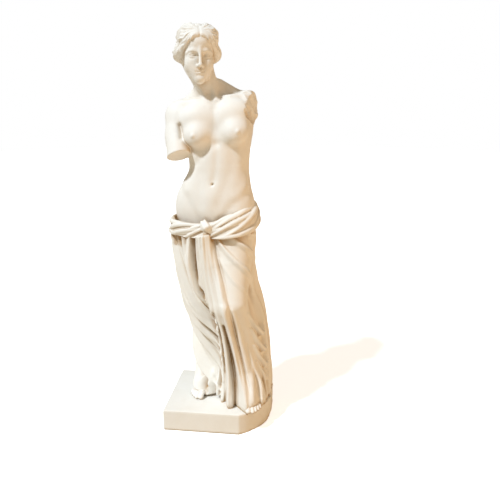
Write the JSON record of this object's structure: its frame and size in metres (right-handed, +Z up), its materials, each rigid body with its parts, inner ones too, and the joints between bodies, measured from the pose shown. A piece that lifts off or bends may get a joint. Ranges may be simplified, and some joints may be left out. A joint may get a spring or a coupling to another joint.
{
  "type": "aphrodite statue",
  "caption": "Standing half-draped classical goddess, armless, mantle rolled and knotted at the hips, one piece with a low plinth.",
  "frame": {"origin": "centre of the plinth's underside, on the ground", "axes": "+Z up through the figure, -Y the front that the figure faces, +X to a viewer's right, which is the figure's left"},
  "size_m": [0.5499, 0.46, 2.0314],
  "materials": {
    "plaster": "pale cream casting plaster, matte with a faint waxy sheen, warmer in the hollows"
  },
  "bodies": {
    "root": {"statue": "plaster"}
  },
  "joints": []
}
